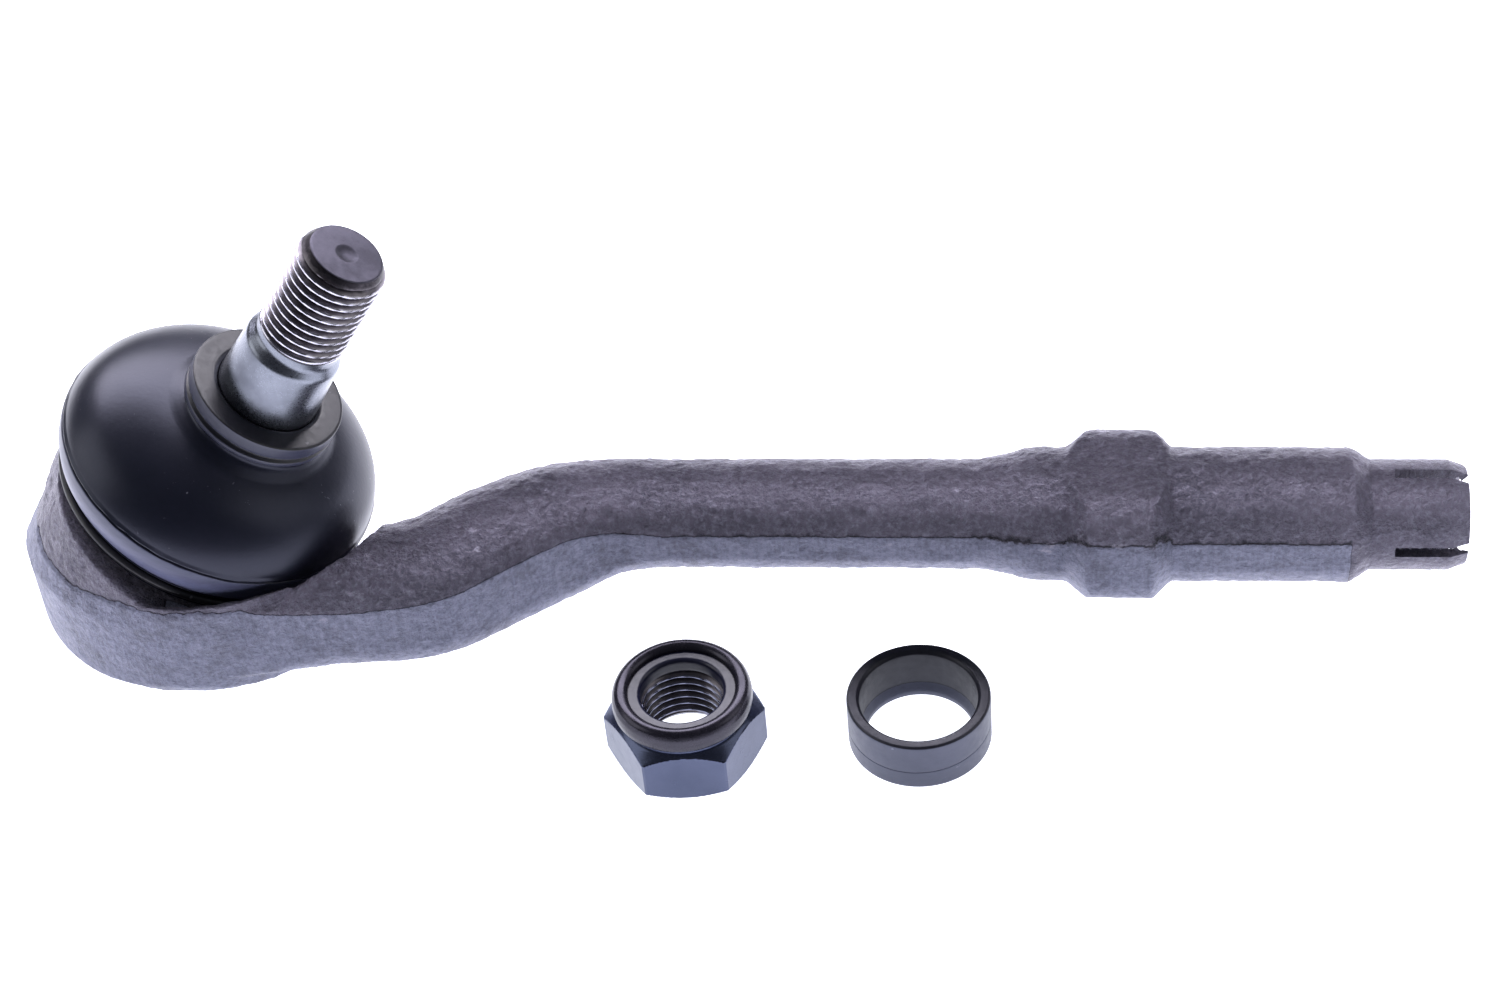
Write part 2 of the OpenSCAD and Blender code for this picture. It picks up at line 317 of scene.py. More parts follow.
def rubber_material():
    m = Nodes("boot_rubber", Specular_IOR_Level=0.42)
    m.shader.inputs["Specular Tint"].default_value = rgb(0.75, 0.78, 1.0)
    blotch = m.noise(70, 4)
    dust = m.ramp(m.noise(1500, 2, 0.5), 0.68, 0.74)
    colour = m.mix(m.ramp(blotch, 0.35, 0.65), rgb(0.006, 0.007, 0.014), rgb(0.009, 0.0095, 0.018))
    specks = m.math("MULTIPLY", dust, m.ramp(m.noise(120, 3), 0.55, 0.65))
    colour = m.mix(specks, colour, rgb(0.12, 0.12, 0.15))
    # Painted reflection of the bright floor: a pale lavender band below the seam, its strength made uneven
    # by stretched noise.
    band = m.attribute("band")
    reflection_variation = m.ramp(m.noise(1, 4, 0.6, m.stretched((300, 300, 1400))), 0.3, 0.7, 0.7, 1.0)
    colour = m.mix(m.math("MULTIPLY", band, reflection_variation), colour, rgb(0.12, 0.127, 0.215))
    rough = m.ramp(m.noise(45, 5), 0.3, 0.7, 0.3, 0.4)
    height = m.math("ADD", m.noise(1400, 3), m.math("MULTIPLY", m.noise(60, 3), 3.0))
    return m.connect(Base_Color=colour, Roughness=rough, Normal=m.bump(height, 0.00003, 0.6))


def ground_steel(name, colour_a, colour_b, rough):
    """Bare turned steel with fine marks and a few dull spots."""
    m = Nodes(name, Metallic=1.0)
    marks = m.noise(1, 4, 0.7, m.stretched((3000, 3000, 3000)))
    spots = m.noise(160, 5, 0.6)
    colour = m.mix(m.ramp(spots, 0.4, 0.65), rgb(*colour_a), rgb(*colour_b))
    roughness = m.math("ADD", m.ramp(marks, 0.3, 0.7, rough[0], rough[1]), m.ramp(spots, 0.5, 0.7, 0, 0.08))
    return m.connect(Base_Color=colour, Roughness=roughness, Normal=m.bump(marks, 0.00002, 0.5))


def coated(name, colour_a, colour_b, rough, metallic, grain=900, depth=0.00004):
    """A thin coating with fine grain, blotches and small pale knocks."""
    m = Nodes(name, Metallic=metallic)
    blotch = m.noise(110, 5)
    fine = m.noise(grain, 4)
    knocks = m.ramp(m.noise(420, 2), 0.74, 0.78)
    colour = m.mix(m.ramp(blotch, 0.35, 0.65), rgb(*colour_a), rgb(*colour_b))
    pale = rgb(*[min(1.0, c * 2.2 + 0.05) for c in colour_b])
    colour = m.mix(knocks, colour, pale)
    roughness = m.ramp(fine, 0.3, 0.7, rough[0], rough[1])
    return m.connect(Base_Color=colour, Roughness=roughness, Normal=m.bump(fine, depth, 0.7))


def thread_steel(name, crest_highlight_colour):
    """Threads: the attribute 'crest' is 1 on a crest, which gets a painted highlight, and 0 in the root,
    which gets painted shade.
    """
    m = Nodes(name, Metallic=1.0)
    smear = m.noise(900, 4)
    crest = m.math("ADD", m.attribute("crest"), m.ramp(smear, 0.3, 0.7, -0.12, 0.12))
    flank = m.mix(m.ramp(m.noise(200, 4), 0.4, 0.65), rgb(0.11, 0.1, 0.115), rgb(0.2, 0.185, 0.2))
    # Painted shade in the root: near-black.
    colour = m.mix(m.ramp(crest, 0.0, 0.45), rgb(0.03, 0.027, 0.032), flank)
    # Painted highlight on the crest: a pale colour.
    colour = m.mix(m.ramp(crest, 0.72, 0.95), colour, rgb(*crest_highlight_colour))
    rough = m.ramp(crest, 0.1, 0.95, 0.42, 0.22)
    return m.connect(Base_Color=colour, Roughness=rough, Normal=m.bump(smear, 0.00003, 0.6))


FORGING = forging_material()
RUBBER = rubber_material()
CONE_STEEL = ground_steel("stud_cone", (0.2, 0.215, 0.255), (0.15, 0.16, 0.195), (0.24, 0.34))
THREAD_STEEL = thread_steel("stud_thread", (0.5, 0.49, 0.57))
NUT_THREAD = thread_steel("nut_thread", (0.2, 0.21, 0.29))
END_STEEL = ground_steel("stud_end", (0.075, 0.072, 0.092), (0.055, 0.053, 0.068), (0.38, 0.5))
COLLAR_BLACK = coated("collar_black", (0.007, 0.0075, 0.012), (0.011, 0.0115, 0.018), (0.32, 0.42), 0.0)
# The collar's side wall: a lighter copy of the collar's black, a painted reflection of the bright floor.
COLLAR_PAINTED_REFLECTION = coated("collar_painted_reflection", (0.04, 0.043, 0.075), (0.055, 0.058, 0.095), (0.34, 0.44), 0.0)
WIRE_BLACK = coated("clamp_wire", (0.018, 0.018, 0.022), (0.03, 0.03, 0.036), (0.3, 0.42), 0.3)
PLATED = coated("nut_plated", (0.078, 0.09, 0.145), (0.062, 0.073, 0.12), (0.18, 0.28), 0.9, 600, 0.00002)
# The nut's rolled lip: a darker copy of the plating, painted shade.
NUT_LIP_PAINTED_SHADE = coated("nut_lip_painted_shade", (0.022, 0.021, 0.032), (0.034, 0.031, 0.045), (0.22, 0.32), 0.6, 600, 0.00002)
NYLON = coated("insert_nylon", (0.008, 0.009, 0.03), (0.011, 0.012, 0.038), (0.28, 0.36), 0.0)
RING_BLUE = coated("ring_coated", (0.05, 0.056, 0.088), (0.064, 0.07, 0.108), (0.36, 0.48), 0.35)
# The ring's top face and the upper part of its bore: a darker copy of the ring's coating, painted shade.
RING_PAINTED_SHADE = coated("ring_painted_shade", (0.014, 0.0145, 0.024), (0.022, 0.023, 0.034), (0.38, 0.5), 0.35)
COVER_STEEL = coated("cover_steel", (0.11, 0.11, 0.14), (0.16, 0.16, 0.2), (0.3, 0.45), 0.8)
SHELL_PLASTIC = coated("socket_plastic", (0.8, 0.8, 0.72), (0.74, 0.74, 0.66), (0.4, 0.5), 0.0)

# ---------------------------------------------------------------- threads

PITCH = 1.5
THREAD_DEPTH = 0.86


def thread_wave(z, angle):
    """How deep a thread's groove is at each angle: 0 on the crest, 1 in the root."""
    phase = (z / PITCH - angle / (2 * math.pi)) % 1.0
    return np.clip((np.abs(phase - 0.5) * 2 - 0.18) * 1.45, 0, 1)


def mark_crests(obj, place, inner, outer):
    """Stores how near each point of a thread is to its crest, as the attribute 'crest'."""
    back = place.inverted()
    low, high = min(inner, outer), max(inner, outer)
    values = []
    for v in obj.data.vertices:
        share = ((back @ v.co).xy.length - low) / (high - low)
        values.append(min(1.0, max(0.0, share if outer > inner else 1 - share)))
    obj.data.attributes.new("crest", "FLOAT", "POINT").data.foreach_set("value", values)


def between(value, low, high):
    """0 below low, 1 above high, smooth between."""
    t = min(1.0, max(0.0, (value - low) / (high - low)))
    return t * t * (3 - 2 * t)


# ---------------------------------------------------------------- ball stud

STUD_L = 65.6
STUD_R = 7.0
THREAD_L = 17.6
CONE_R = 7.62
CONE_TOP = 45.0
CONE_LOW = 23.0
CONE_SLOPE = 0.05
BALL_R = 12.5


def cone_radius(z):
    return CONE_R + (CONE_TOP - z) * CONE_SLOPE


def make_stud():
    thread_low = STUD_L - THREAD_L
    flat_z = -11.3
    start = math.degrees(math.asin(flat_z / BALL_R))
    ball = arc((0, 0), (BALL_R, BALL_R), start, 53.5, 40)
    shank = rounded([ball[-1], (6.8, 12), (6.8, 20), (cone_radius(CONE_LOW), CONE_LOW), (CONE_R, CONE_TOP),
                     (STUD_R - 0.45, CONE_TOP + 1.35), (STUD_R - 0.45, thread_low - 0.1),
                     (STUD_R, thread_low + 0.45)], 0.45)
    threaded = [(STUD_R, z) for z in np.arange(thread_low + 0.55, STUD_L - 1.9, 0.085)]
    tip = rounded([(STUD_R, STUD_L - 1.9), (5.72, STUD_L), (1.75, STUD_L)], 0.25)
    dimple = [(1.75, STUD_L), (1.5, STUD_L - 0.1), (0.7, STUD_L - 0.3), (0, STUD_L - 0.36)]
    tip = divided(tip, 0.2)[:-1] + dimple
    profile = [(0, flat_z)] + divided(ball, 1) + divided(shank, 1.0)[1:] + threaded + tip

    def shape(r, z, angle):
        wave = thread_wave(z, angle) * THREAD_DEPTH * between(z, thread_low + 0.3, thread_low + 1.6)
        limit = STUD_R - wave
        cut = thread_low < z < STUD_L - 0.25 and r > 5.8
        return np.minimum(r, limit) if cut else np.full(len(angle), r)

    stud = turned("ball_stud", profile, 224, shape=shape, place=STUD)
    mark_crests(stud, STUD, STUD_R - THREAD_DEPTH, STUD_R)
    back = STUD.inverted()
    for face in stud.data.polygons:
        z = (back @ face.center).z
        face.material_index = 1 if z > thread_low - 0.2 else 0
        if z > STUD_L - 0.5 and (back.to_3x3() @ face.normal).z > 0.8:
            face.material_index = 2
    return keep_slots(stud, "stud", "ball_stud", [CONE_STEEL, THREAD_STEEL, END_STEEL])


def keep_slots(obj, body, node, materials, sharp=30):
    """finished() for a mesh whose faces already have their material numbers."""
    numbers = [p.material_index for p in obj.data.polygons]
    finished(obj, body, node, materials, sharp)
    obj.data.polygons.foreach_set("material_index", numbers)
    return obj


# ---------------------------------------------------------------- boot and its rings

SEAM_AT = 17.35
DOME_R = 8.2
DOME_AT = 16.6
DOME_A = 17.15
DOME_B = 12.1
BOOT_SHIFT = -0.5
BOOT_WALL = 1.8
NECK_R = 22.2
CLAMP_AT = 10.0
CLAMP_R = 23.0
CLAMP_WIRE = 0.7
COLLAR_LOW = 30.2
COLLAR_TOP = 34.6
COLLAR_R = 12.2
SHELL_TOP = 6.0
SHELL_LOW = -14.3
SHELL_R = 14.7
COVER_R = 15.2
COVER_T = 1.5


def make_boot():
    lip = [(NECK_R + 0.25, 8.35), (23.4, 8.35), (23.65, 8.7), (23.5, 9.0), (CLAMP_R, 9.25),
           (CLAMP_R, 10.75), (23.35, 10.9), (23.75, 11.0), (23.9, 11.2), (23.7, 11.45), (23.6, 11.6),
           (24.0, 11.75), (24.4, 12.1), (24.85, 12.9), (25.2, 14.2), (25.45, 15.7), (25.55, 16.9),
           (25.5, 17.15), (25.2, 17.3), (25.18, 17.42), (25.5, 17.55), (25.45, 17.8)]
    dome = arc((DOME_R, DOME_AT), (DOME_A, DOME_B), 7, 72, 44)
    neck = [(12.4, 28.75), (11.7, 29.1), (11.5, 29.5), (11.5, 30.15), (10.2, 30.2), (9.6, 29.6)]
    inner = arc((DOME_R, DOME_AT), (DOME_A - BOOT_WALL, DOME_B - BOOT_WALL), 70, 0, 24)
    inside = [(DOME_R + DOME_A - BOOT_WALL - 0.3, 14.4), (NECK_R + 0.25, 11.8)]
    profile = divided(rounded(lip, 0.12, 2) + dome + neck + inner + inside, 0.9, closed=True)

    def shape(r, z, angle):
        wobble = 0.05 * np.sin(3 * angle + 0.4) * between(z, 12, 18) * (1 - between(z, 24, 28))
        torn = np.array([noise.noise((math.cos(a) * 9, math.sin(a) * 9, z * 0.4)) for a in angle])
        seam = 0.13 * torn if abs(z - SEAM_AT) < 0.25 and r > 24 else 0.0
        return r + wobble + seam

    boot = turned("dust_boot", profile, 256, closed=True, shape=shape)
    # Where the painted floor reflection goes: below the seam, strongest near its low edge and fading
    # upwards.
    band = [between(v.co.z, 11.4, 12.4) * (1 - 0.6 * between(v.co.z, 13, 17)) * (v.co.z < SEAM_AT - 0.3)
            * (v.co.xy.length > 23.7) for v in boot.data.vertices]
    boot.data.attributes.new("band", "FLOAT", "POINT").data.foreach_set("value", band)
    for v in boot.data.vertices:
        v.co.z += 0.22 * noise.noise((v.co.x * 0.35, v.co.y * 0.35, 3)) * (abs(v.co.z - SEAM_AT) < 0.6)
        v.co.x += BOOT_SHIFT * between(v.co.z, 11, 15) * (1 - between(v.co.z, 23, 29))
        turn = Matrix.Rotation(TILT * between(v.co.z, 18, 29), 4, "Y")
        v.co = SOCKET @ (turn @ v.co)
    start = (SOCKET @ Vector((0, 0, SEAM_AT + 1.5))) * MM
    end = (STUD @ Vector((0, 0, COLLAR_LOW - 0.2))) * MM
    return finished(boot, "boot", "dust_boot", [RUBBER], 40, bend=("collar", start, end))


def make_clamp_ring():
    profile = arc((CLAMP_R + CLAMP_WIRE * 0.95, CLAMP_AT), (CLAMP_WIRE, CLAMP_WIRE), 0, 345, 15)
    ring = turned("boot_clamp_ring", profile, 220, closed=True, place=SOCKET)
    return finished(ring, "boot", "boot_clamp_ring", [WIRE_BLACK])


def make_collar():
    low, top, r = COLLAR_LOW, COLLAR_TOP, COLLAR_R
    outline = [(cone_radius(low) + 0.06, low), (r - 0.35, low), (r + 0.02, low + 0.35), (r, low + 1.0),
               (r - 0.55, low + 1.35), (r - 0.6, low + 1.7), (r - 0.08, low + 1.95), (r, low + 2.3),
               (r, top - 0.1), (r - 0.35, top), (cone_radius(top) + 0.7, top),
               (cone_radius(top) + 0.06, top - 0.35)]
    profile = rounded(outline, 0.18, 3, closed=True)
    collar = turned("boot_collar_ring", divided(profile, 0.8, closed=True), 192, closed=True, place=STUD)
    back = STUD.inverted()
    for face in collar.data.polygons:
        at = back @ face.center
        # The side wall, but not its groove, gets the painted floor reflection.
        wall = at.xy.length > r - 0.25 and at.z < top - 0.15 and not low + 1.0 < at.z < low + 2.0
        face.material_index = 1 if wall else 0
    return keep_slots(collar, "collar", "boot_collar_ring", [COLLAR_BLACK, COLLAR_PAINTED_REFLECTION], 40)


def make_shell():
    bore = BALL_R + 0.05
    mouth = math.degrees(math.asin(SHELL_TOP / bore))
    outer = [(0, SHELL_LOW), (SHELL_R, SHELL_LOW), (SHELL_R, SHELL_TOP)]
    profile = outer + arc((0, 0), (bore, bore), mouth, -90, 48)
    shell = turned("bearing_shell", rounded(profile[:4], 0.3)[:-1] + profile[3:], 128, place=SOCKET)
    return finished(shell, "housing", "bearing_shell", [SHELL_PLASTIC])


def make_cover():
    low = SHELL_LOW - COVER_T
    outline = [(0, low + 0.35), (6.5, low + 0.35), (7.6, low + 0.02), (COVER_R, low + 0.02),
               (COVER_R, SHELL_LOW), (0, SHELL_LOW)]
    profile = rounded(outline, 0.3)
    cover = turned("end_cover", divided(profile, 1.0), 128, place=SOCKET)
    return finished(cover, "housing", "end_cover", [COVER_STEEL])


# ---------------------------------------------------------------- nut, insert and ring

NUT_AF = 22.0
NUT_H = 14.0
HEX_H = 9.6
NUT_TURN = math.radians(5)
BORE_R = 6.19
INSERT_LOW = NUT_H - 3.6
INSERT_TOP = NUT_H - 1.1
INSERT_R = 9.2
INSERT_BORE_R = 6.5
RING_R = 11.2
RING_BORE_R = 9.2
RING_H = 9.0
RING_LINE = RING_H * 0.42


def hexagon(angle, across):
    """Radius of a hexagon at each angle."""
    return across / 2 / np.cos((angle - NUT_TURN) % (math.pi / 3) - math.pi / 6)


def make_nut():
    corner = NUT_AF / 2 / math.cos(math.pi / 6)
    base = [(7.15, 0), (9.9, 0), (NUT_AF / 2 - 0.35, 0.12)]
    side = [(corner - 0.12, 1.45), (corner - 0.12, HEX_H - 1.75)]
    shoulder = [(NUT_AF / 2 - 0.3, HEX_H - 0.12), (10.55, HEX_H), (10.3, HEX_H + 0.12)]
    lip = [(10.25, HEX_H + 0.55), (10.62, HEX_H + 0.7), (10.65, HEX_H + 1.0), (10.9, HEX_H + 1.15),
           (10.95, HEX_H + 2.0), (10.85, NUT_H - 1.3), (10.45, NUT_H - 0.45), (9.9, NUT_H - 0.05),
           (9.3, NUT_H), (8.7, NUT_H - 0.25), (8.35, NUT_H - 0.7), (8.3, INSERT_TOP)]
    seat = [(INSERT_R, INSERT_TOP), (INSERT_R, INSERT_LOW), (7.05, INSERT_LOW), (6.9, INSERT_LOW - 0.2)]
    thread = [(BORE_R, z) for z in np.arange(NUT_H - 4.1, 1.1, -0.1)]
    outer = divided(base + side + shoulder, 0.28) + rounded([shoulder[-1]] + lip, 0.25, 3)[1:]
    profile = divided(outer + seat, 0.6) + thread + [(6.55, 0.75)]

    def shape(r, z, angle):
        if r == BORE_R:
            return r + (1 - thread_wave(z, angle)) * THREAD_DEPTH * between(z, 0.9, 2.0)
        on_hexagon = r > 9.8 and z < HEX_H + 0.01
        return np.minimum(r, hexagon(angle, NUT_AF)) if on_hexagon else np.full(len(angle), r)

    foot = node_foot("lock_nut")
    place = Matrix.Translation(foot)
    nut = turned("lock_nut", profile, 360, closed=True, shape=shape, place=place)
    mark_crests(nut, place, BORE_R + THREAD_DEPTH, BORE_R)
    for face in nut.data.polygons:
        away = math.hypot(face.center.x - foot.x, face.center.y - foot.y)
        z = face.center.z - foot.z
        # The rolled lip gets the darker copy of the plating, painted shade.
        if z > HEX_H + 0.9 and away > 8.2:
            face.material_index = 1
        elif away < 7.4 and z > 0.7:
            face.material_index = 2
    return keep_slots(nut, "nut", "lock_nut", [PLATED, NUT_LIP_PAINTED_SHADE, NUT_THREAD], 28)


def make_insert():
    top = INSERT_TOP - 0.02
    outline = [(INSERT_BORE_R, INSERT_LOW), (INSERT_R, INSERT_LOW), (INSERT_R, top),
               (INSERT_BORE_R + 0.4, top), (INSERT_BORE_R, INSERT_TOP - 0.4)]
    profile = rounded(outline, 0.3, 4, closed=True)
    insert = turned("nut_insert", divided(profile, 0.5, closed=True), 160, closed=True,
                    place=Matrix.Translation(node_foot("lock_nut")))
    return finished(insert, "nut", "nut_insert", [NYLON])


def make_ring():
    r, bore, h, line = RING_R, RING_BORE_R, RING_H, RING_LINE
    outline = [(8.5, 0.0), (r - 0.3, 0.0), (r, 0.3), (r, line - 0.09), (r - 0.09, line), (r, line + 0.09),
               (r, h - 0.3), (r - 0.3, h), (bore + 0.45, h), (bore, h - 0.5), (bore, 2.4), (8.5, 0.8)]
    profile = divided(rounded(outline, 0.16, 3, closed=True), 0.6, closed=True)
    foot = node_foot("clamping_ring")
    ring = turned("clamping_ring", profile, 220, closed=True, place=Matrix.Translation(foot))
    for v in ring.data.vertices:
        angle = math.atan2(v.co.y - foot.y, v.co.x - foot.x)
        v.co.z += 0.35 * math.sin(angle + 0.6) * (abs(v.co.z - foot.z - line) < 0.6)
    for face in ring.data.polygons:
        inside = math.hypot(face.center.x - foot.x, face.center.y - foot.y) < bore + 0.35
        # Painted shade on the upward faces of the top and on the bore above 2.2 mm.
        top = face.normal.z > 0.5 and face.center.z > foot.z + h - 0.7
        face.material_index = 1 if top or (inside and face.center.z > foot.z + 2.2) else 0
    return keep_slots(ring, "ring", "clamping_ring", [RING_BLUE, RING_PAINTED_SHADE])


# ---------------------------------------------------------------- the forging

SHANK_R = 8.65
THICK_R = 10.5
COLLET_R = 8.6
COLLET_L = 14.5
FLASH_HALF = 2.25
WALL_R = 31.4
WALL_FRONT = BALL.xy + Vector((4.9, 3.3))
WALL_BACK = BALL.xy + Vector((-4.2, -5.7))
WALL_HIGH = 8.8
UNDERSIDE = WALL_FRONT + Vector((-3, 0.5))
UNDERSIDE_TILT = math.radians(5)
BODY_R = 26.3
BODY_SHIFT = Vector((3, -1.9))
BOSS_R = 23.8
BOSS_TOP = 8.0
POCKET_R = 26.9
NECK_TOP = 11.4
LOW_BOSS_R = 19.0
RIM_LOW = -16.5
RIM_R = 17.2
RIM_BORE_R = 13.2
FLARE_R = 11
SLOT_L = 11.2
SLOT_W = 1.9
VOXEL = 0.36
CREASE_DEPTH = 0.3
CREASE_WIDTH = 0.45

# x, centre y, half width, half height, half height of the flats
STATIONS = [
    (-193, -18.5, 11.4, 10.5, 8.0),
    (-184, -18.4, 11.0, 10.3, 6.2),
    (-176, -18.2, 9.8, 10.2, 4.6),
    (-168, -17.9, 9.3, 10.2, 4.5),
    (-160, -15.9, 9.5, 10.4, 4.8),
    (-151, -9.5, 9.4, 10.7, 5.2),
    (-142, -3.8, 9.0, 10.4, 5.2),
    (-133, -0.6, 8.4, 9.1, 3.6),
    (-124, 0, 8.35, 8.65, FLASH_HALF)]


def spline(a, b, c, d, t):
    """A Catmull-Rom curve from b to c."""
    square, cube = 2 * a - 5 * b + 4 * c - d, 3 * b - a - 3 * c + d
    return 0.5 * (2 * b + (c - a) * t + square * t * t + cube * t ** 3)


def neck_path(steps=6):
    rows = [np.array(s, float) for s in STATIONS]
    out = []
    for i in range(len(rows) - 1):
        quad = (rows[max(i - 1, 0)], rows[i], rows[i + 1], rows[min(i + 2, len(rows) - 1)])
        out += [spline(*quad, k / steps) for k in range(steps)]
    return out + [rows[-1]]


def arch(w, b, h, n, steps=18):
    """Half outline of a section, an arch from flat to flat."""
    start = math.asin(min(h / b, 0.95) ** (n / 2))
    a = w / math.cos(start) ** (2 / n)
    out = []
    for k in range(steps + 1):
        q = start + (math.pi - 2 * start) * k / steps
        c = math.cos(q)
        out.append((a * math.copysign(abs(c) ** (2 / n), c), b * math.sin(q) ** (2 / n)))
    return out


def make_gooseneck():
    path = neck_path()
    rings = []
    for i, s in enumerate(path):
        before, after = path[max(i - 1, 0)], path[min(i + 1, len(path) - 1)]
        turn = math.atan2(after[1] - before[1], after[0] - before[0])
        fullness = 2 + between(s[0], -126, -150)
        section = arch(s[2], s[3], s[4], 2) + [(-p, -q) for p, q in arch(s[2], s[3], s[4], fullness)]
        rings.append([(s[0] - p * math.sin(turn), s[1] + p * math.cos(turn), q) for p, q in section])
    return lofted("gooseneck", rings)


def upright(centre):
    """A tall upright cylinder, as wide as the housing's wall is round."""
    return rod(WALL_R, -30, 60, Matrix.Translation((centre.x, centre.y, 0)), 256)


def make_housing():
    body = upright(WALL_FRONT)
    combined(body, upright(WALL_BACK), "INTERSECT")
    bowl = [(0, -12.6), (27.6, -12.6), (30.2, -10.8), (31.5, -8.6), (50, 20), (50, 80), (0, 80)]
    place = Matrix.Translation((UNDERSIDE.x, UNDERSIDE.y, 0)) @ Matrix.Rotation(UNDERSIDE_TILT, 4, "Y")
    combined(body, turned("bowl", rounded(bowl, 1.2), 256, place=place), "INTERSECT")
    shifted = SOCKET @ Matrix.Translation((BODY_SHIFT.x, BODY_SHIFT.y, 0))
    combined(body, rod(BODY_R, -60, 60, shifted, 256), "INTERSECT")
    top = rod(60, -60, BOSS_TOP, SOCKET)
    low = (WALL_FRONT.x - 10, -60, WALL_HIGH - 30)
    combined(top, brick(low, (low[0] + 60, 60, WALL_HIGH)), "UNION")
    combined(body, top, "INTERSECT")
    for radius, low, high in ((BOSS_R, 0, BOSS_TOP), (NECK_R, 0, NECK_TOP), (LOW_BOSS_R, SHELL_LOW, 0),
                              (RIM_R, RIM_LOW, RIM_LOW + 8)):
        combined(body, rod(radius, low, high, SOCKET, 256), "UNION")
    return body


def make_lug():
    half_z, half_y = 10.6, 13.0
    section = [(half_y, 5.8), (8, half_z), (-8, half_z), (-half_y, 5.8),
               (-half_y, -5.8), (-8, -half_z), (8, -half_z), (half_y, -5.8)]
    section = rounded(section, 2.4, 5, closed=True)
    lug = lofted("lug", [[(x, y, z) for y, z in section] for x in (-66, -40)])
    outline = [(0, -63.5), (9, -63.5), (11.3, -60.4), (14.6, -56.8),
               (14.6, -49.4), (11.3, -45.8), (9, -43.5), (0, -43.5)]
    return combined(lug, turned("cut", rounded(outline, 2.6), 160, place=ALONG_X), "INTERSECT")


def flats(obj, low, high, half_width):
    """Trims a bar along X flat on both sides, as the flash was trimmed."""
    return combined(obj, brick((low, -half_width, -20), (high, half_width, 20)), "INTERSECT")


def make_rod_body():
    body = make_gooseneck()
    combined(body, make_housing(), "UNION")
    outline = [(NECK_R, BOSS_TOP), (POCKET_R, BOSS_TOP), (POCKET_R, 60), (NECK_R, 60)]
    combined(body, turned("pocket", outline, 256, closed=True, place=SOCKET), "DIFFERENCE")
    combined(body, rod(POCKET_R, NECK_TOP, 60, SOCKET, 256), "DIFFERENCE")
    shank = rod(SHANK_R, -130, -70, ALONG_X, 128)
    combined(body, flats(shank, -140, -50, math.sqrt(SHANK_R ** 2 - FLASH_HALF ** 2)), "UNION")
    outline = [(0, -76), (SHANK_R - 0.1, -76), (SHANK_R + 0.3, -73.5), (THICK_R - 0.9, -70.3),
               (THICK_R - 0.2, -67.8), (THICK_R, -65.5), (THICK_R, -17.6),
               (COLLET_R - 0.1, -COLLET_L), (0, -COLLET_L)]
    thick = turned("thick", outline, 160, place=ALONG_X)
    combined(body, flats(thick, -80, 0, math.sqrt(THICK_R ** 2 - (FLASH_HALF + 0.3) ** 2)), "UNION")
    combined(body, make_lug(), "UNION")
    combined(body, rod(SHELL_R, SHELL_LOW, SHELL_TOP, SOCKET), "DIFFERENCE")
    combined(body, rod(COVER_R, SHELL_LOW - COVER_T, SHELL_LOW + 0.01, SOCKET), "DIFFERENCE")
    combined(body, rod(RIM_BORE_R, -40, 0, SOCKET), "DIFFERENCE")
    low, high = SHELL_TOP - 0.1, NECK_TOP + 0.1
    outline = [(0, low), (FLARE_R, low), (RIM_BORE_R, high), (0, high)]
    flare = turned("flare", outline, 160, place=SOCKET)
    combined(body, flare, "DIFFERENCE")
    return combined(body, rod(7.8, -60, 1, ALONG_X), "DIFFERENCE")


def flash_edge(p):
    """Height of the trimmed band's upper edge round the head and along the neck."""
    waver = noise.noise(p * 0.12) * 1.2 + noise.noise(p * 0.9) * 0.35
    return np.interp(p.x, (-200, -193, -184, -176, -170), (8.1, 8.0, 6.8, 5.4, 30)) + waver


def on_head(p, local):
    return p.x < -188 and local.xy.length > BOSS_R + 0.3


def trimmed(p, normal, local):
    """1 on the flats where the flash was trimmed, 0 on the forged skin, in between at the crease."""
    if p.x > -18 or (local.xy.length < BOSS_R + 0.3 and local.z > -2):
        return 0.0
    steep = max(between(-normal.z, -0.42, -0.12), between(-p.x, 186, 191))
    upper = steep * between(flash_edge(p) - p.z, -0.3, 0.4)
    lower = between(normal.z, -0.95, -0.35)
    return upper * lower


def make_forging():
    body = make_rod_body()
    remesh = body.modifiers.new("remesh", "REMESH")
    remesh.mode = "VOXEL"
    remesh.voxel_size = VOXEL
    soften = body.modifiers.new("soften", "SMOOTH")
    soften.factor = 0.5
    soften.iterations = 4
    evaluated(body)
    mesh = body.data
    to_socket = SOCKET.inverted()
    attribute = mesh.attributes.new("flat", "FLOAT", "POINT")
    values = []
    moved = []
    for v in mesh.vertices:
        p = v.co
        local = to_socket @ p
        flat = trimmed(p, v.normal, local)
        values.append(flat)
        end_face = local.z > BOSS_TOP - 0.3 or local.z < SHELL_LOW + 0.5
        machined = local.xy.length < BOSS_R + 0.4 and end_face
        coarse = noise.noise(p * 0.16) * 0.2
        lumps = noise.noise(p * 0.55 + Vector((7, 3, 1))) * 0.14
        fine = noise.noise(p * 1.3) * 0.09
        calm = 0.12 if machined else 1.0 - 0.5 * flat
        relief = (coarse + lumps + fine - 0.05) * calm
        if on_head(p, local):
            relief -= CREASE_DEPTH * math.exp(-((p.z - flash_edge(p)) / CREASE_WIDTH) ** 2)
        moved.append(p + v.normal * relief)
    attribute.data.foreach_set("value", values)
    for v, p in zip(mesh.vertices, moved):
        v.co = p
    body.name = "rod_body"
    return finished(body, "housing", "rod_forging", [FORGING], 60)


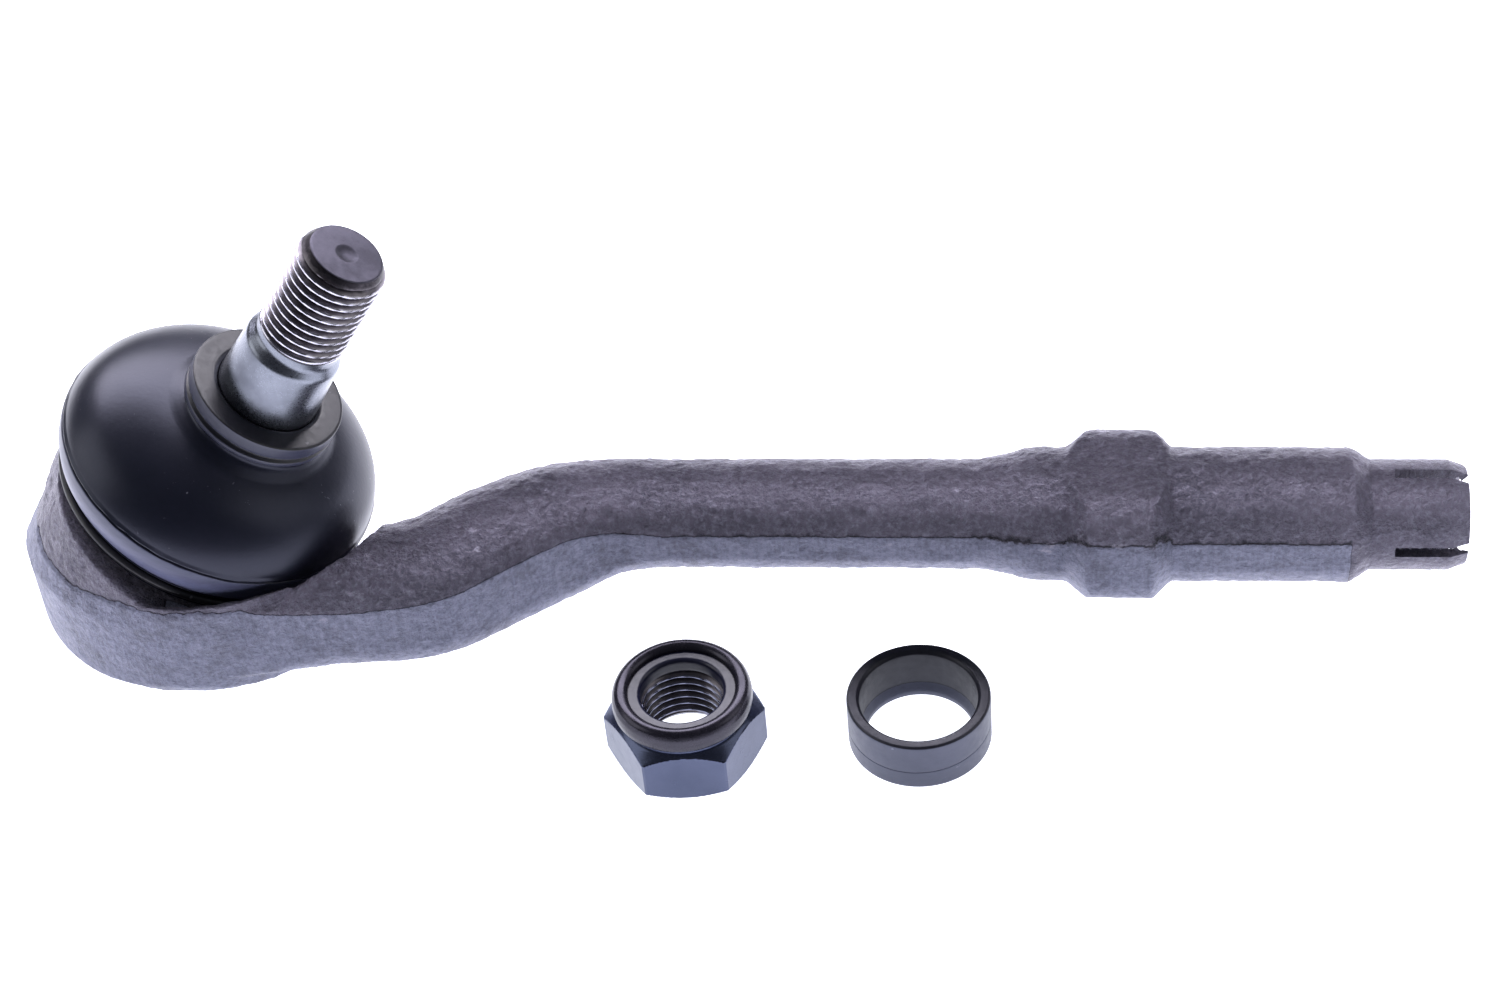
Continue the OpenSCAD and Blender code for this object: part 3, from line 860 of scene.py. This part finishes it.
def make_collet():
    root = BORE_R + THREAD_DEPTH
    outer = [(root + 0.25, -59.5), (COLLET_R, -59.5), (COLLET_R, -2.7),
             (COLLET_R - 1.05, -0.02), (root + 0.15, 0)]
    inner = [(BORE_R, x) for x in np.arange(-0.9, -58, -0.125)]

    def shape(r, z, angle):
        if r == BORE_R:
            return r + (1 - thread_wave(z, angle)) * THREAD_DEPTH
        rough = np.array([noise.noise((math.cos(a) * 6, math.sin(a) * 6, z * 0.7)) for a in angle]) * 0.06
        return r + rough * (r > root + 0.2)

    profile = divided(rounded(outer, 0.2, 3), 0.5) + inner
    collet = turned("rod_collet", profile, 160, closed=True, shape=shape, place=ALONG_X)
    for high, wide in ((20, SLOT_W / 2), (SLOT_W / 2, 20)):
        combined(collet, brick((-SLOT_L, -wide, -high), (1, wide, high)), "DIFFERENCE")
    mesh = collet.data
    mesh.attributes.new("flat", "FLOAT", "POINT").data.foreach_set("value", [0.0] * len(mesh.vertices))
    return finished(collet, "housing", None, [FORGING], 40)


make_forging()
make_collet()
make_shell()
make_cover()
make_stud()
make_boot()
make_clamp_ring()
make_collar()
make_nut()
make_insert()
make_ring()

# ---------------------------------------------------------------- floor, light and camera

FLOOR_HALF = 6000
FLOOR_GLOW = 1.7

def make_floor():
    floor = brick((-FLOOR_HALF, -FLOOR_HALF, -20), (FLOOR_HALF, FLOOR_HALF, 0))
    floor.name = "floor"
    floor.data.transform(Matrix.Translation((-110, 0, FLOOR_Z - 0.05)))
    floor.data.transform(Matrix.Scale(MM, 4))
    m = Nodes("floor", Roughness=0.9, Specular_IOR_Level=0.1)
    tone = m.mix(m.noise(2, 3), rgb(0.93, 0.93, 0.94), rgb(0.95, 0.95, 0.96))
    floor.data.materials.append(m.connect(Base_Color=tone))
    m.shader.inputs["Emission Color"].default_value = rgb(0.88, 0.9, 1.0)
    m.shader.inputs["Emission Strength"].default_value = FLOOR_GLOW


def soft_light(name, place, target, size, power, colour=(1, 1, 1)):
    lamp = bpy.data.lights.new(name, "AREA")
    lamp.shape = "RECTANGLE"
    lamp.size, lamp.size_y = size
    lamp.energy = power
    lamp.color = colour
    obj = bpy.data.objects.new(name, lamp)
    bpy.context.scene.collection.objects.link(obj)
    obj.location = place
    obj.rotation_euler = (Vector(target) - Vector(place)).to_track_quat("-Z", "Y").to_euler()
    return obj


CAMERA_AZIMUTH = 8.26
CAMERA_ELEVATION = 42.74
CAMERA_ROLL = -5.54
CAMERA_AT = Vector((-60.99, -344.73, 324.72)) * MM
CAMERA_LENS = 72.0


def make_camera():
    az, el, roll = (math.radians(v) for v in (CAMERA_AZIMUTH, CAMERA_ELEVATION, CAMERA_ROLL))
    forward = Vector((-math.sin(az) * math.cos(el), math.cos(az) * math.cos(el), -math.sin(el)))
    level = forward.cross(Vector((0, 0, 1))).normalized()
    upright_axis = level.cross(forward)
    right = math.cos(roll) * level + math.sin(roll) * upright_axis
    up = -math.sin(roll) * level + math.cos(roll) * upright_axis
    data = bpy.data.cameras.new("camera")
    data.lens = CAMERA_LENS
    data.sensor_width = 36.0
    data.clip_start = 0.01
    camera = bpy.data.objects.new("camera", data)
    bpy.context.scene.collection.objects.link(camera)
    turn = Matrix((right, up, -forward)).transposed()
    camera.matrix_world = Matrix.Translation(CAMERA_AT) @ turn.to_4x4()
    bpy.context.scene.camera = camera


def make_world():
    world = bpy.data.worlds.new("studio")
    world.use_nodes = True
    background = world.node_tree.nodes["Background"]
    background.inputs["Color"].default_value = rgb(0.82, 0.85, 1.0)
    background.inputs["Strength"].default_value = 0.1
    bpy.context.scene.world = world


make_floor()
make_world()
soft_light("back_light", (-0.2, 0.75, 0.72), (-0.11, 0, 0), (1.5, 0.55), 21, (0.93, 0.9, 1))
soft_light("left_light", (-0.9, -0.1, 0.45), (-0.15, 0, 0), (0.6, 0.6), 2)
soft_light("right_light", (0.7, 0.0, 0.5), (-0.1, 0, 0), (0.6, 0.6), 1.2)
make_camera()
bpy.context.scene.view_settings.view_transform = "Standard"
